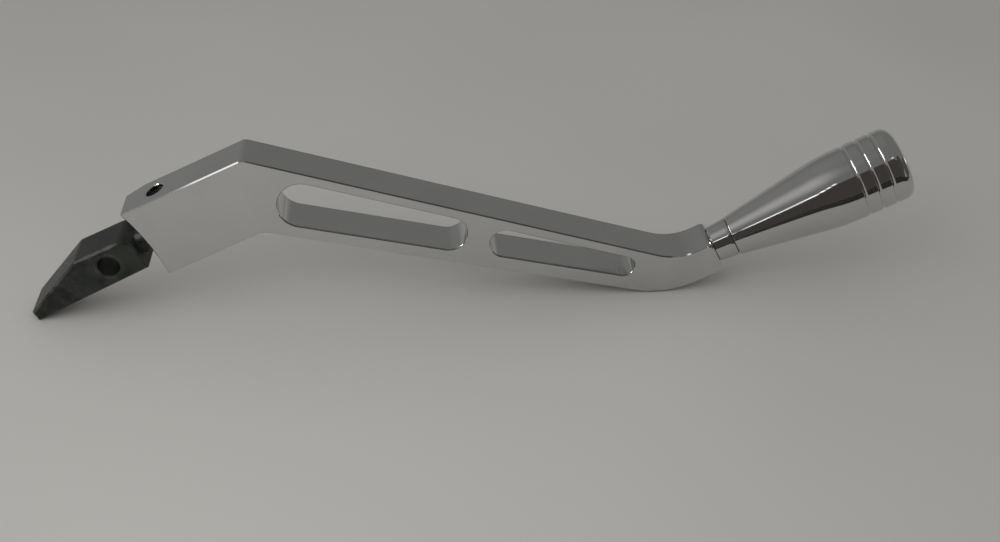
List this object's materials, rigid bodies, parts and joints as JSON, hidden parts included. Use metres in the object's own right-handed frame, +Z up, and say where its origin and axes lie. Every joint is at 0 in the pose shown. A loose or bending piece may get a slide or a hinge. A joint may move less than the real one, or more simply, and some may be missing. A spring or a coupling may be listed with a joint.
{
  "type": "foot peg",
  "caption": "Grooved tapered peg that spins on an axle at the end of a long bent, slotted arm, with a black bored pivot knuckle and wedge tail.",
  "frame": {"origin": "centre of the knuckle's pivot bore, at mid thickness of the arm", "axes": "+X out along the arm towards the peg, +Y along the pivot bore through the plate's thickness, +Z up as the part stands on its edge"},
  "size_m": [0.3836, 0.033, 0.075],
  "materials": {
    "arm_billet": "mirror polished and plated",
    "peg_plated": "mirror chrome plate over aluminium",
    "collar_plated": "mirror chrome plate over steel",
    "black_steel": "satin black oxide on steel",
    "steel": "ground steel, lightly oiled",
    "bronze": "sintered bronze",
    "rubber": "matte",
    "nylon": "matte"
  },
  "bodies": {
    "frame": {"arm": "arm_billet", "knuckle": "black_steel", "pivot_bush": "steel", "knuckle_point_screw": "black_steel", "knuckle_lock_screw": "black_steel", "thread_insert": "steel", "axle": "steel", "collar": "collar_plated", "dust_seal": "rubber", "inner_thrust_washer": "bronze", "outer_thrust_washer": "bronze", "disc_spring": "steel", "nut_washer": "steel", "lock_nut": "steel", "nut_lock_ring": "nylon"},
    "peg": {"peg_shell": "peg_plated", "inner_bush": "bronze", "outer_bush": "bronze", "end_cap": "peg_plated", "cap_seal": "rubber"}
  },
  "joints": [
    {"name": "peg_spin", "type": "hinge", "parent": "frame", "child": "peg", "pos_m": [0.2625, 0, -0.0084], "axis": [0.8926, 0, 0.4509], "continuous": true}
  ]
}
